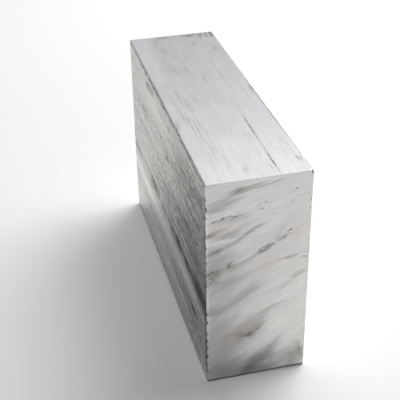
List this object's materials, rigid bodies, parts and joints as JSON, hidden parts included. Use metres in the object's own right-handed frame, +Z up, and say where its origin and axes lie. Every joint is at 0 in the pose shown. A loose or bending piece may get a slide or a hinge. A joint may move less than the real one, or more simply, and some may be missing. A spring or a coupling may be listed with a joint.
{
  "type": "aluminium block",
  "caption": "Solid rectangular block of mill-finish aluminium flat bar with sawn ends, stock to be machined or used as a weight or spacer.",
  "frame": {"origin": "centre of the narrow side that the block stands on", "axes": "+X across the bar's thickness, +Y along its length with the near sawn end at -Y, +Z up the bar's width"},
  "size_m": [0.04, 0.14, 0.09],
  "materials": {
    "aluminium": "mill finish with die lines along the four long sides, saw marks on the two ends"
  },
  "bodies": {
    "root": {"aluminium_block": "aluminium"}
  },
  "joints": []
}
